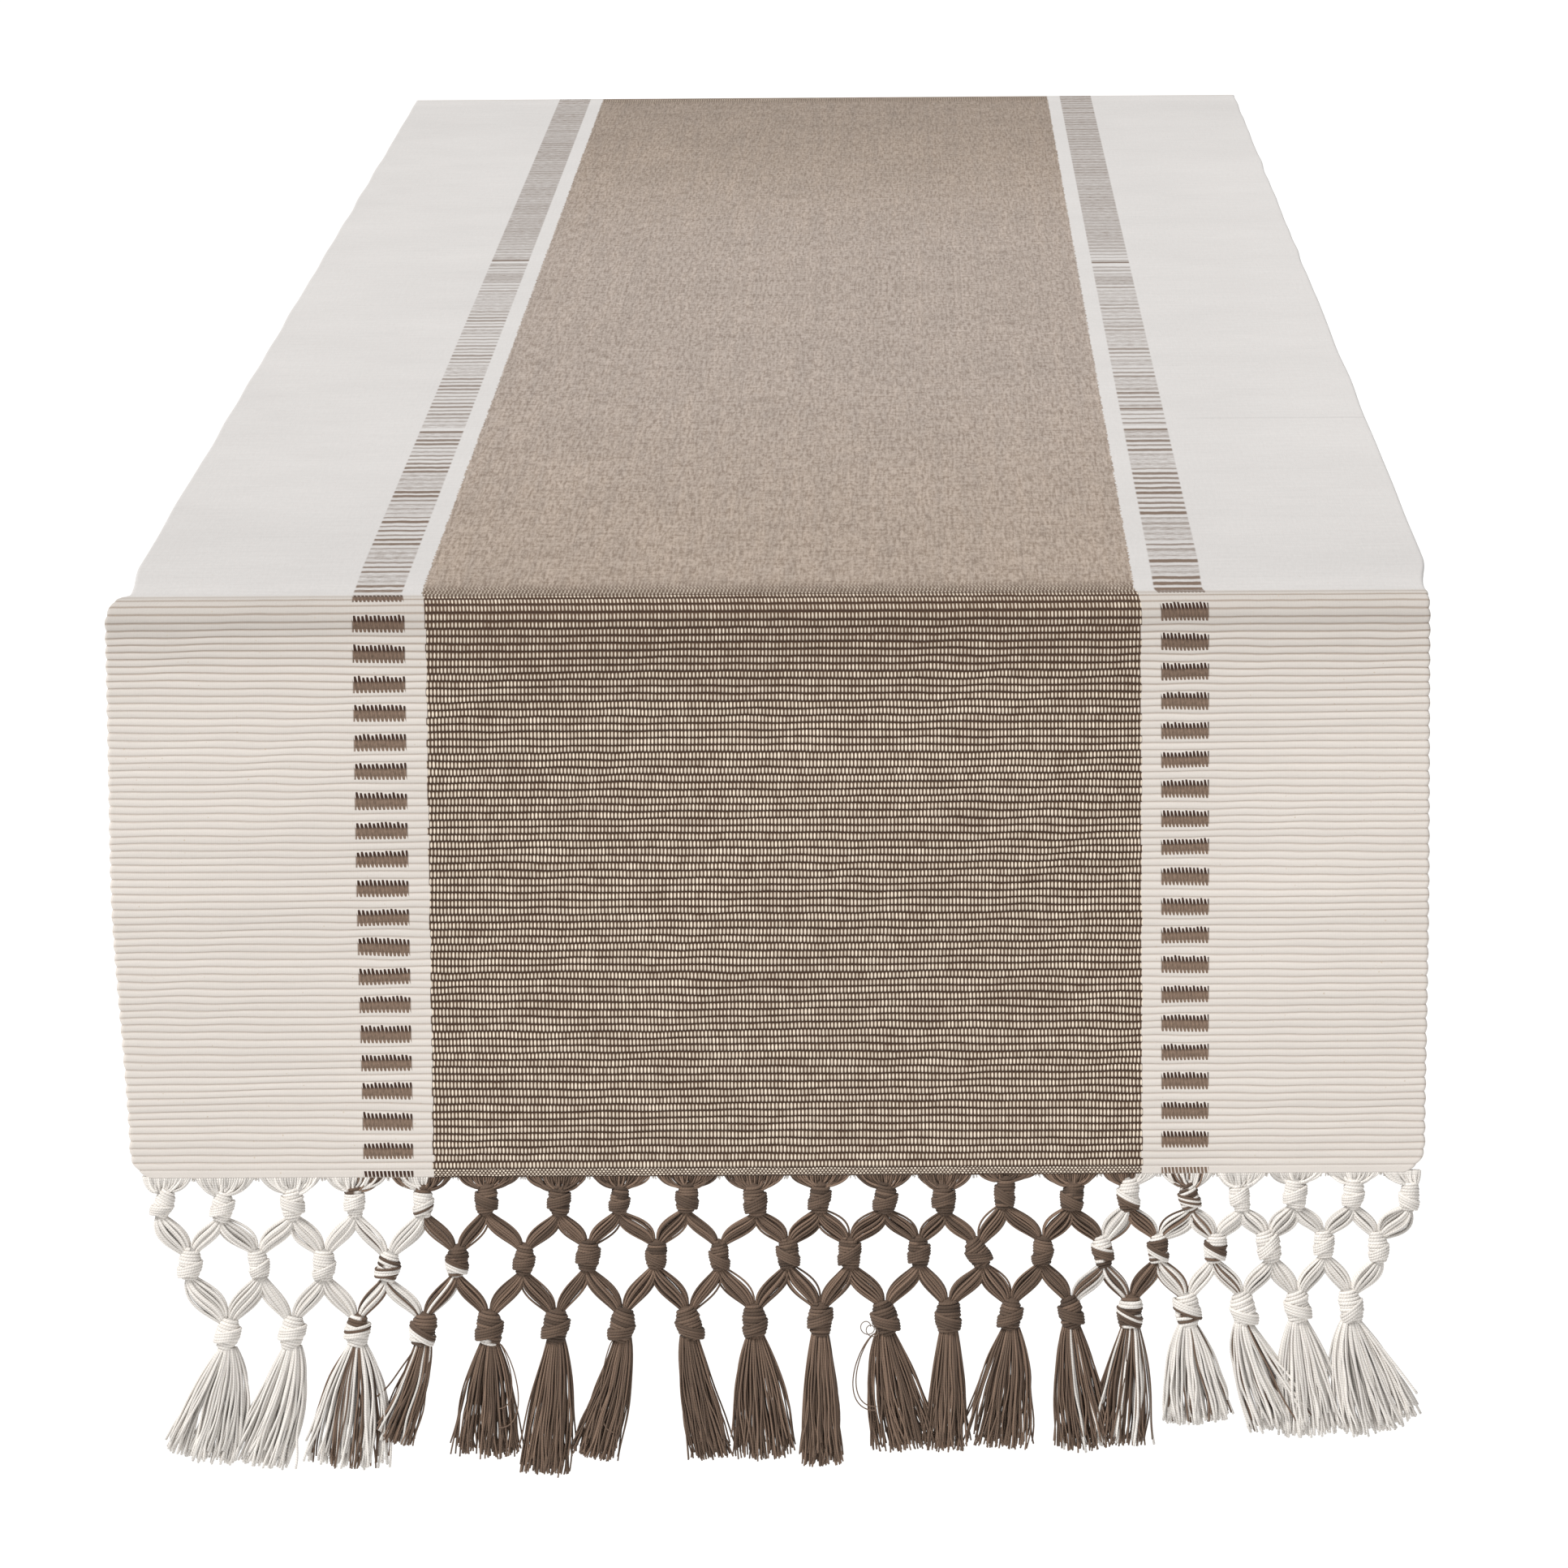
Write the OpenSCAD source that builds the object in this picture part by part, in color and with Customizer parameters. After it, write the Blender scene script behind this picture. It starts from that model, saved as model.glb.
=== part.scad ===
// Table runner: a ribbed cotton strip draped over a table, with a knotted net
// and a row of tassels at each end. Millimetres, +Z up. The origin is on the
// table's surface, at the middle of the stretch of cloth that lies on it.
// X runs across the cloth and Y along it. The front end is at -Y.

/* [Cloth] */
// Width of the woven cloth
cloth_w = 330; // [300:5:360]
// Length of the whole runner laid flat, from tassel tips to tassel tips
total_l = 1829; // [1372:1:2743]
// Height that each end hangs below the table's surface, tassels included
drop_h = 220; // [180:5:300]
// Thickness of the ribbed cloth
cloth_t = 1.6; // [1.2:0.1:2.4]
// Inside radius of the fold over the table's edge
fold_r = 4; // [1:0.5:6]
// Radius of the cloth's two lower corners at each end
corner_r = 7; // [2:1:12]

/* [Warp bands] */
// Width of the heathered panel in the middle
centre_w = 179; // [120:1:200]
// Width of the plain stripe on each side of the middle panel
stripe_w = 5; // [3:0.5:10]
// Width of each dashed band
dash_w = 12.5; // [8:0.5:20]

/* [Fringe] */
// Height of the fringe, from the cloth's end to the tassel tips
fringe_h = 75; // [70:1:95]
// Number of knots in the upper row; each row below has one fewer
upper_count = 21; // [11:1:24]
// Distance from the cloth's selvedge to the first upper knot
knot_inset = 8; // [7:0.5:12]
// Depth of the upper knots' centres below the cloth's end
upper_row = 7.8; // [7.5:0.1:9]
// Depth of the middle knots' centres below the cloth's end
middle_row = 23.5; // [21:0.5:26]
// Depth of the tassel knots' centres below the cloth's end
tassel_row = 42; // [39:0.5:45]
// Sideways drift of the knots in the middle of each row, towards +X
knot_drift = 10.5; // [0:0.5:11]
// How much higher the tassels hang at the +X selvedge than at the other one
row_rise = 7; // [0:0.5:8]

/* [Knots and tassels] */
// Width of a knot in the net
knot_w = 5.8; // [4:0.1:6.4]
// Height of a knot in the net
knot_h = 7.4; // [6:0.1:8]
// Width of a tassel's knot
tassel_knot_w = 6.5; // [5:0.1:7]
// Height of a tassel's knot
tassel_knot_h = 8.6; // [7:0.1:9.5]
// Width of a tassel's skirt at its tips
skirt_w = 12.4; // [8:0.2:12.6]
// Width of a strand at its middle
strand_w = 3.4; // [2:0.1:4]

/* [Hidden] */
// Gap between pieces that swing against each other
swing_gap = 0.3;
// How far a strand or a fan runs into its knot
tuck = 0.5;
// Radius of the rolled yarn where the fringe leaves the cloth
roll_r = 0.6;
// Width of a knot's flat ends, as a share of its middle width
end_share = 0.62;
// Width of a strand where a knot pinches it, as a share of its middle width
pinch_share = 0.55;
// Length of a strand's full-width middle, as a share of its whole length
belly_share = 0.3;
// Flat sides round a strand
strand_sides = 8;
// Side to side play between neighbouring fans
fan_gap = 0.8;
// Steps in the quarter arc of a tassel's dome
dome_steps = 9;
// Width of a tassel's neck, as a share of its knot's width
neck_share = 0.72;
// Width of a skirt where it opens out, as a share of its width at the tips
shoulder_share = 0.72;
// Depth of that place, as a share of the skirt's height
shoulder_depth = 0.35;
// Width of an edge strand, which carries a whole bundle and not half of one
edge_strand_w = strand_w * 1.25;

top_l = total_l - 2 * drop_h;
woven_h = drop_h - fringe_h;
bend_y = top_l / 2 - fold_r - cloth_t;
mid_y = top_l / 2 - cloth_t / 2;
plate_top = fold_r + swing_gap;

pitch = (cloth_w - 2 * knot_inset) / (upper_count - 1);
middle_count = upper_count - 1;
tassel_count = upper_count - 2;
dome_r = tassel_knot_w / 2;
dome_depth = tassel_row - tassel_knot_h / 2 + dome_r;

ECRU = [0.90, 0.88, 0.84];
TAUPE = [0.62, 0.55, 0.48];
DASHED = [0.70, 0.64, 0.57];
BROWN = [0.40, 0.32, 0.26];
MIXED = [0.66, 0.60, 0.53];

// Warp bands from the left selvedge to the right one: width and colour
border_w = (cloth_w - centre_w) / 2 - stripe_w - dash_w;
BANDS = [
    [border_w, ECRU],
    [dash_w, DASHED],
    [stripe_w, ECRU],
    [centre_w, TAUPE],
    [stripe_w, ECRU],
    [dash_w, DASHED],
    [border_w, ECRU]
];

// Left edge of band i, measured from the left selvedge
function band_start(i) = i == 0 ? 0 : band_start(i - 1) + BANDS[i - 1][0];
// Where knot i of a row of count knots comes along the row of upper knots,
// from 0 at the first upper knot to 1 at the last one
function row_share(i, count) = (i + (upper_count - count) / 2) / (upper_count - 1);
// Place of that knot across the cloth: even steps, with a drift that is
// greatest just past the middle
function knot_x(i, count) =
    (row_share(i, count) - 0.5) * (cloth_w - 2 * knot_inset)
    + knot_drift * sin(180 * pow(row_share(i, count), 1.5));
// Its height above the cloth's end, less than 0; lower rows rise more
function knot_z(i, count, depth) =
    row_rise * depth / tassel_row * row_share(i, count) - depth;
// Share of the runner's half width, 0 in the middle and 1 at the selvedge
function side_share(x) = 2 * abs(x) / cloth_w;
// The fringe takes the colour of the warp it is knotted from
function yarn_colour(x) =
    side_share(x) < (centre_w - pitch) / cloth_w ? BROWN :
    side_share(x) < (centre_w + 2.6 * pitch) / cloth_w ? MIXED : ECRU;
// Two-digit number for a tassel's name
function two_digits(n) = n < 10 ? str("0", n) : str(n);
function tassel_name(end, i) = str(end, "_tassel_", two_digits(i + 1));

ENDS = ["front", "back"];
CLOTH_NODES = ["woven_top", "front_fold", "back_fold", "front_drop", "back_drop"];
NET_PARTS = ["warp_fans", "upper_knots", "upper_strands", "middle_knots", "lower_strands"];
NET_NODES = [for (end = ENDS, part = NET_PARTS) str(end, "_", part)];
TASSEL_NODES = [for (end = ENDS, i = [0 : tassel_count - 1]) tassel_name(end, i)];

// ---- Shapes that repeat ----

// Round body with bulging sides: w wide in the middle, end_w wide at its flat
// ends, h high, centred on the origin
module barrel(w, end_w, h) {
    bulge = (w - end_w) / 2;
    arc_r = (bulge * bulge + h * h / 4) / (2 * bulge);
    rotate_extrude($fn = 48)
        intersection() {
            translate([w / 2 - arc_r, 0]) circle(arc_r, $fn = 360);
            translate([0, -h / 2]) square([w, h]);
        }
}

// Strand from one point of the net's plane to another, x across and z up,
// stopping short of each point; it is faceted, and narrows towards its ends
module strand(from, to, w, from_gap, to_gap) {
    step = to - from;
    reach = norm(step);
    length = reach - from_gap - to_gap;
    lean = atan2(step[0], step[1]);
    end_r = w * pinch_share / 2;
    belly_z = length * belly_share / 2;
    translate([from[0], 0, from[1]])
        rotate([0, lean, 0])
            translate([0, 0, from_gap + length / 2])
                rotate_extrude($fn = strand_sides)
                    polygon([
                        [0, -length / 2],
                        [end_r, -length / 2],
                        [w / 2, -belly_z],
                        [w / 2, belly_z],
                        [end_r, length / 2],
                        [0, length / 2]
                    ]);
}

// Everything that hangs at one end is drawn in the plane y = 0 with the
// cloth's end at z = 0, and placed here; the back end is the front's mirror
module at_end(end) {
    side = end == "front" ? -1 : 1;
    translate([0, side * mid_y, -woven_h]) children();
}

// ---- Cloth ----

module woven_top() {
    for (i = [0 : len(BANDS) - 1])
        color(BANDS[i][1])
            translate([band_start(i) - cloth_w / 2, -bend_y, 0])
                cube([BANDS[i][0], 2 * bend_y, cloth_t]);
}

// Quarter bend of cloth over the table's edge
module fold(end) {
    turn = end == "front" ? 180 : 0;
    for (i = [0 : len(BANDS) - 1])
        color(BANDS[i][1])
            rotate([0, 0, turn])
                translate([-cloth_w / 2 + band_start(i), bend_y, -fold_r])
                    rotate([90, 0, 90])
                        linear_extrude(BANDS[i][0])
                            fold_section();
}

module fold_section() {
    intersection() {
        difference() {
            circle(fold_r + cloth_t, $fn = 96);
            circle(fold_r, $fn = 96);
        }
        square(fold_r + cloth_t);
    }
}

// Outline of a hanging panel, x across and y down from the table's surface
module panel_outline() {
    straight_h = woven_h - corner_r;
    translate([-cloth_w / 2, -straight_h])
        square([cloth_w, straight_h - plate_top]);
    translate([-cloth_w / 2 + corner_r, -woven_h])
        square([cloth_w - 2 * corner_r, woven_h - plate_top]);
    for (side = [-1, 1])
        translate([side * (cloth_w / 2 - corner_r), -straight_h])
            circle(corner_r, $fn = 64);
}

module drop(end) {
    side = end == "front" ? -1 : 1;
    for (i = [0 : len(BANDS) - 1])
        color(BANDS[i][1])
            translate([0, side * mid_y + cloth_t / 2, 0])
                rotate([90, 0, 0])
                    linear_extrude(cloth_t)
                        intersection() {
                            panel_outline();
                            translate([band_start(i) - cloth_w / 2, -woven_h])
                                square([BANDS[i][0], woven_h]);
                        }
}

// ---- Knotted net ----

// Left edge of the fan above upper knot i, half way from the knot before it
function fan_edge(i) =
    i == 0 ? corner_r / 2 - cloth_w / 2 :
    i == upper_count ? cloth_w / 2 - corner_r / 2 :
    (knot_x(i - 1, upper_count) + knot_x(i, upper_count)) / 2;

// Warp ends drawn together below the cloth, one fan for each upper knot
module warp_fans(end) {
    top_z = -swing_gap - roll_r;
    at_end(end)
        for (i = [0 : upper_count - 1]) {
            left = fan_edge(i) + fan_gap / 2;
            right = fan_edge(i + 1) - fan_gap / 2;
            x = knot_x(i, upper_count);
            foot_w = knot_w * end_share;
            foot_z = knot_z(i, upper_count, upper_row) + knot_h / 2 - tuck;
            color(yarn_colour(x)) {
                translate([left, 0, top_z])
                    rotate([0, 90, 0])
                        cylinder(r = roll_r, h = right - left, $fn = 32);
                translate([0, roll_r, 0])
                    rotate([90, 0, 0])
                        linear_extrude(2 * roll_r)
                            polygon([
                                [left, top_z],
                                [right, top_z],
                                [x + foot_w / 2, foot_z],
                                [x - foot_w / 2, foot_z]
                            ]);
            }
        }
}

module knot_row(end, count, depth) {
    at_end(end)
        for (i = [0 : count - 1])
            color(yarn_colour(knot_x(i, count)))
                translate([knot_x(i, count), 0, knot_z(i, count, depth)])
                    barrel(knot_w, knot_w * end_share, knot_h);
}

module upper_knots(end) {
    knot_row(end, upper_count, upper_row);
}

module middle_knots(end) {
    knot_row(end, middle_count, middle_row);
}

// Each knot's yarn parts in two, and each half meets its neighbour's half at
// the next knot down; at the selvedges the whole bundle goes down one side
module strand_row(end, from_count, from_depth, to_depth, to_gap) {
    to_count = from_count - 1;
    from_gap = knot_h / 2 - tuck;
    at_end(end)
        for (i = [0 : to_count - 1], half = [0, 1]) {
            from_i = i + half;
            at_edge = from_i == 0 || from_i == from_count - 1;
            color(yarn_colour(knot_x(from_i, from_count)))
                strand(
                    [knot_x(from_i, from_count), knot_z(from_i, from_count, from_depth)],
                    [knot_x(i, to_count), knot_z(i, to_count, to_depth)],
                    at_edge ? edge_strand_w : strand_w,
                    from_gap,
                    to_gap
                );
        }
}

module upper_strands(end) {
    strand_row(end, upper_count, upper_row, middle_row, knot_h / 2 - tuck);
}

// These stop clear of the tassels' domes, which turn under them
module lower_strands(end) {
    strand_row(end, middle_count, middle_row, dome_depth, dome_r + swing_gap);
}

// ---- Tassels ----

// Half outline of a tassel, with the dome's centre at the origin
module tassel_outline() {
    knot_foot = dome_r - tassel_knot_h;
    neck_w = tassel_knot_w * neck_share;
    tip = dome_depth - fringe_h;
    shoulder_z = knot_foot + (tip - knot_foot) * shoulder_depth;
    dome = [for (a = [0 : 90 / dome_steps : 90]) [dome_r * cos(a), dome_r * sin(a)]];
    polygon(concat(
        dome,
        [
            [0, tip],
            [skirt_w / 2, tip],
            [skirt_w * shoulder_share / 2, shoulder_z],
            [neck_w / 2, knot_foot],
            [dome_r, knot_foot]
        ]
    ));
}

// Knot with its skirt of cut yarn, swinging about the centre of its dome
module tassel(end, i) {
    x = knot_x(i, tassel_count);
    color(yarn_colour(x))
        at_end(end)
            translate([x, 0, knot_z(i, tassel_count, dome_depth)])
                rotate_extrude($fn = 64)
                    tassel_outline();
}

// ---- Drawing ----

woven_top();
for (end = ENDS) {
    fold(end);
    drop(end);
    warp_fans(end);
    upper_knots(end);
    upper_strands(end);
    middle_knots(end);
    lower_strands(end);
    for (i = [0 : tassel_count - 1])
        tassel(end, i);
}
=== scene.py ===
"""Looks for the table runner: a ribbed cotton cloth over a table, with a knotted
net and a row of tassels at each end. Metres, in the frame of the CAD model: X
runs across the cloth, Y along it, and the front end is at -Y."""

import math
from types import SimpleNamespace

import bpy
import numpy as np
from mathutils import Matrix, Vector


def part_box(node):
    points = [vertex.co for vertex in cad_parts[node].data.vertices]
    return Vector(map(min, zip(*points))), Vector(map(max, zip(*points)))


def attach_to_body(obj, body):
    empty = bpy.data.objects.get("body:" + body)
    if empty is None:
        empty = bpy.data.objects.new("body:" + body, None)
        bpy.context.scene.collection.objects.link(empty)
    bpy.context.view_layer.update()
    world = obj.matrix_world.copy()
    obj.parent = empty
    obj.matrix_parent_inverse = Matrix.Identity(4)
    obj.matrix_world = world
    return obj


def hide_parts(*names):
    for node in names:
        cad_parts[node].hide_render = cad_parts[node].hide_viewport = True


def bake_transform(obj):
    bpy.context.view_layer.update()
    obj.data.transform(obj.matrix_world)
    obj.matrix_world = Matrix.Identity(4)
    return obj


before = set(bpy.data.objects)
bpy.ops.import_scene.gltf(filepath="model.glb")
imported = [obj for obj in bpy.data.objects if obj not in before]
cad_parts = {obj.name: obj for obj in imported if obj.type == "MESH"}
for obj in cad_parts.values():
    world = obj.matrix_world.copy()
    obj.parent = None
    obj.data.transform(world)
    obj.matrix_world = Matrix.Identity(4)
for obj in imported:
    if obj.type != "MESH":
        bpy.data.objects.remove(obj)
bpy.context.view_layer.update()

MM = 0.001
FRONT, BACK = -1, 1
END_NAME = {FRONT: "front", BACK: "back"}

# ---- Sizes, from the CAD nodes ----

_, TOP_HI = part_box("woven_top")
DROP_LO, DROP_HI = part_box("back_drop")
HALF_W = TOP_HI.x
BEND_Y = TOP_HI.y
CLOTH_T = TOP_HI.z
MID_Y = (DROP_LO.y + DROP_HI.y) / 2
END_Z = DROP_LO.z
CLOTH_END = END_Z - 1.3 * MM
ARC_R = MID_Y - BEND_Y
ARC_LEN = ARC_R * math.pi / 2
ARC_Z = CLOTH_T / 2 - ARC_R
CLOTH_LEN = BEND_Y + ARC_LEN + ARC_Z - CLOTH_END

# ---- The weave ----

RIB = 1.865 * MM
HEADER = 2.3 * MM  # the closely woven rows without ribs, at the very end
RIB_HEIGHT = 0.24 * MM
WARP_PITCH = 0.92 * MM
DASH_PITCH = 0.97 * MM
HEADER_PITCH = 0.55 * MM
RIBS_A_DASH = 4
DASH_ABOVE_END = 7.2 * MM
RIB_START = BEND_Y - 34 * MM
CORNER_R = 7 * MM
PANEL_W, STRIPE_W, DASH_W = 89.5 * MM, 5 * MM, 12.5 * MM
DASH_IN = PANEL_W + STRIPE_W
DASH_OUT = DASH_IN + DASH_W

# ---- The net, as in the CAD model ----

UPPER_COUNT = 21
KNOT_SPAN = 2 * HALF_W - 16 * MM
KNOT_DRIFT = 10.5 * MM
ROW_RISE = 7 * MM
UPPER_ROW, MIDDLE_ROW, TASSEL_ROW = 7.8 * MM, 23.5 * MM, 42 * MM
KNOT_W, KNOT_H = 5.8 * MM, 7.4 * MM
TASSEL_KNOT_W, TASSEL_KNOT_H = 6.5 * MM, 8.6 * MM
FAN_YARNS, STRAND_YARNS, EDGE_STRAND_YARNS, TASSEL_YARNS = 46, 30, 40, 140
STRAND_W, EDGE_STRAND_W = 5.3 * MM, 6.4 * MM
WRAPS = 12  # letters in a knot's pattern of wraps


def smoothstep(x, lo, hi):
    t = np.clip((x - lo) / (hi - lo), 0, 1)
    return t * t * (3 - 2 * t)


def linear(rgb):
    """Scene colour from 8-bit display colour."""
    out = []
    for c in rgb:
        c = c / 255
        out.append(c / 12.92 if c <= 0.04045 else ((c + 0.055) / 1.055) ** 2.4)
    return (*out, 1.0)


# ---- Node graphs written as arithmetic ----


class Value:
    """A number or colour inside a material."""

    def __init__(self, graph, socket):
        self.graph, self.socket = graph, socket

    def __add__(self, o):
        return self.graph.math("ADD", self, o)

    def __sub__(self, o):
        return self.graph.math("SUBTRACT", self, o)

    def __rsub__(self, o):
        return self.graph.math("SUBTRACT", o, self)

    def __mul__(self, o):
        return self.graph.math("MULTIPLY", self, o)

    def __truediv__(self, o):
        return self.graph.math("DIVIDE", self, o)

    __radd__, __rmul__ = __add__, __mul__

    def abs(self):
        return self.graph.math("ABSOLUTE", self)

    def floor(self):
        return self.graph.math("FLOOR", self)

    def fract(self):
        return self.graph.math("FRACT", self)

    def least(self, o):
        return self.graph.math("MINIMUM", self, o)

    def most(self, o):
        return self.graph.math("MAXIMUM", self, o)

    def over(self, lo, hi):
        """Smoothly from 0 at lo to 1 at hi."""
        node = self.graph.add("ShaderNodeMapRange", interpolation_type="SMOOTHSTEP")
        self.graph.put(node.inputs["Value"], self)
        self.graph.put(node.inputs["From Min"], lo)
        self.graph.put(node.inputs["From Max"], hi)
        return Value(self.graph, node.outputs["Result"])

    def under(self, lo, hi):
        """Smoothly from 1 at lo to 0 at hi."""
        return 1 - self.over(lo, hi)


class Graph:
    """A material under construction."""

    def __init__(self, name):
        self.material = bpy.data.materials.new(name)
        self.material.use_nodes = True
        self.tree = self.material.node_tree
        self.tree.nodes.clear()

    def add(self, kind, **settings):
        node = self.tree.nodes.new(kind)
        for key, value in settings.items():
            setattr(node, key, value)
        return node

    def put(self, socket, value):
        if isinstance(value, Value):
            self.tree.links.new(value.socket, socket)
        else:
            socket.default_value = value

    def math(self, operation, *values):
        node = self.add("ShaderNodeMath", operation=operation)
        for socket, value in zip(node.inputs, values):
            self.put(socket, value)
        return Value(self, node.outputs[0])

    def vector(self, x, y, z=0.0):
        node = self.add("ShaderNodeCombineXYZ")
        for socket, value in zip(node.inputs, (x, y, z)):
            self.put(socket, value)
        return Value(self, node.outputs[0])

    def uv(self):
        """The two UV numbers, in metres along the cloth or the yarn."""
        node = self.add("ShaderNodeUVMap", uv_map="UVMap")
        split = self.add("ShaderNodeSeparateXYZ")
        self.tree.links.new(node.outputs[0], split.inputs[0])
        return Value(self, split.outputs[0]), Value(self, split.outputs[1])

    def attribute(self, name):
        node = self.add("ShaderNodeAttribute", attribute_name=name)
        return Value(self, node.outputs["Fac"])

    def noise(self, x, y, z=0.0, detail=2.0, roughness=0.5):
        node = self.add("ShaderNodeTexNoise")
        self.put(node.inputs["Vector"], self.vector(x, y, z))
        node.inputs["Scale"].default_value = 1.0
        node.inputs["Detail"].default_value = detail
        node.inputs["Roughness"].default_value = roughness
        return Value(self, node.outputs[0])

    def cell(self, x, y, z=0.0):
        """A random number for each whole x, y and z."""
        node = self.add("ShaderNodeTexWhiteNoise", noise_dimensions="3D")
        self.put(node.inputs["Vector"], self.vector(x, y, z))
        return Value(self, node.outputs["Value"])

    def mix(self, a, b, factor):
        node = self.add("ShaderNodeMix", data_type="RGBA")
        self.put(node.inputs["Factor"], factor)
        colour_in = [s for s in node.inputs if s.type == "RGBA"]
        self.put(colour_in[0], a)
        self.put(colour_in[1], b)
        return Value(self, [s for s in node.outputs if s.type == "RGBA"][0])

    def scaled(self, colour, factor):
        """A colour made darker or lighter by a number."""
        node = self.add("ShaderNodeVectorMath", operation="SCALE")
        self.put(node.inputs[0], colour if isinstance(colour, Value) else colour[:3])
        self.put(node.inputs["Scale"], factor)
        return Value(self, node.outputs[0])

    def finish(self, colour, height, distance, roughness, sheen):
        """Cotton: rough, with a little sheen, and the height as bump."""
        bump = self.add("ShaderNodeBump")
        bump.inputs["Strength"].default_value = 1.0
        bump.inputs["Distance"].default_value = distance
        self.put(bump.inputs["Height"], height)
        shader = self.add("ShaderNodeBsdfPrincipled")
        self.put(shader.inputs["Base Color"], colour)
        self.put(shader.inputs["Roughness"], roughness)
        self.tree.links.new(bump.outputs[0], shader.inputs["Normal"])
        shader.inputs["Specular IOR Level"].default_value = 0.2
        shader.inputs["Sheen Weight"].default_value = sheen
        shader.inputs["Sheen Roughness"].default_value = 0.5
        output = self.add("ShaderNodeOutputMaterial")
        self.tree.links.new(shader.outputs[0], output.inputs[0])
        return self.material


# ---- Cotton colours ----

ECRU = linear((215, 208, 201))
# Ecru painted darker, as the shade in the grooves between ribs
ECRU_GROOVE_SHADE = linear((184, 171, 160))
# The same ecru, painted cooler and greyer where it lies on the table, as painted cool light from
# above
ECRU_TOP_PAINTED_COOL = linear((211, 208, 206))
LIGHT_WEFT = linear((234, 221, 203))
BROWN_WARP = linear((95, 76, 62))
# Brown warp painted darker, as the shade in the panel's rib grooves; also the darker warp of the
# header
GROOVE_SHADE_AND_HEADER_WARP = linear((66, 49, 39))
DASH_BROWN = linear((122, 103, 89))
DASH_DARK = linear((62, 43, 34))
TAUPE = linear((187, 174, 164))
TAUPE_DARK = linear((138, 123, 112))
TAUPE_WARM = linear((184, 168, 154))
TAUPE_WARM_DARK = linear((134, 117, 102))
YARN_ECRU = linear((230, 225, 219))
YARN_BROWN = linear((124, 103, 88))


def blended(a, b, factor):
    """A number between a and b, for arrays and for numbers inside a material."""
    return a + (b - a) * factor


def band_mask(across, lo, hi, soft=0.25):
    """1 between two distances from the middle, in mm, on either side."""
    return across.over(lo - soft, lo + soft) * across.under(hi - soft, hi + soft)


def dash_mask(g, f):
    """Brown dashes with combed edges, four ribs apart, in mm."""
    step = RIBS_A_DASH * RIB / MM
    phase = DASH_ABOVE_END / MM + (1 - f.left) * (RIB / MM)
    turn = (f.from_end - phase) / step + 0.5
    offset = (turn.fract() - 0.5) * step
    tooth = (f.x + offset * 0.15) / (DASH_PITCH / MM)
    comb = ((tooth.fract() - 0.5).abs() * 2).under(0.42, 0.95)
    luck = g.cell(tooth.floor(), turn.floor())
    up = 0.75 + comb * (1.15 + luck * 0.45)
    down = 1.25 + comb * 0.85
    reach = blended(down, up, offset.over(-0.1, 0.1))
    inside = (reach - offset.abs()).over(-0.1, 0.1)
    return inside * turn.over(0, 0.05), offset, comb


def lattice(g, x, rows, pitch, width, tall):
    """Oval floats of light weft, one in each cell of the warp and the ribs."""
    column = x / pitch
    dx = (column.fract() - 0.5) / width
    dy = (rows.fract() - 0.5) / tall
    return dx * dx + dy * dy, g.cell(column.floor(), rows.floor())


def cloth_fields(g, far):
    """Places on the cloth, in mm, and the unevenness that its parts share."""
    u, v = g.uv()
    f = SimpleNamespace(far=far, x=u / MM, along=v / MM, from_end=(CLOTH_LEN - v) / MM)
    f.across = f.x.abs()
    f.left = f.x.under(-1, 1)
    wobble = (g.noise(f.x / 7, f.from_end / 5, 2, 2) - 0.5) * 0.3
    f.rows = (f.from_end - HEADER / MM + wobble) / (RIB / MM)
    f.rib = (f.rows.fract() - 0.5).abs() * 2
    f.header = f.from_end.under(HEADER / MM - 0.1, HEADER / MM + 0.1)
    bend = (CLOTH_LEN - BEND_Y) / MM
    f.top = f.from_end.over(bend - 1, bend + 3)
    f.lying = f.from_end.over(bend, bend + 28)
    # The next two masks carry painted shade: one on the bend, and one from the bend down over
    # the upper part of the drop
    f.fold = f.from_end.over(bend - 14, bend - 6) * f.from_end.under(bend, bend + 4)
    f.near_fold = f.from_end.over(bend - 38, bend - 4)
    f.front_of_top = f.from_end.under(bend, bend + 26)
    f.slub = g.noise(f.x / 14, f.rows.floor() * 3.1, 0, 2)
    f.slow = g.noise(f.x / 45, f.along / 60, 3, 3)
    f.streak = g.noise(f.x / 0.7, f.along / 16, 7, 3, 0.6)
    f.long_streak = g.noise(f.x / 2.5, f.along / 140, 17, 2)
    f.weft = g.noise(f.x / 18, f.along / 2.5, 5, 2, 0.6)
    f.grain = g.noise(f.x / 1.1, f.along / 4.5, 19, 2, 0.7)
    f.blotch = g.noise(f.x / 5, f.along / 22, 13, 3, 0.6)
    f.fine = g.noise(f.x / 0.35, f.along / 0.35, 1, 2)
    return f


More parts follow.
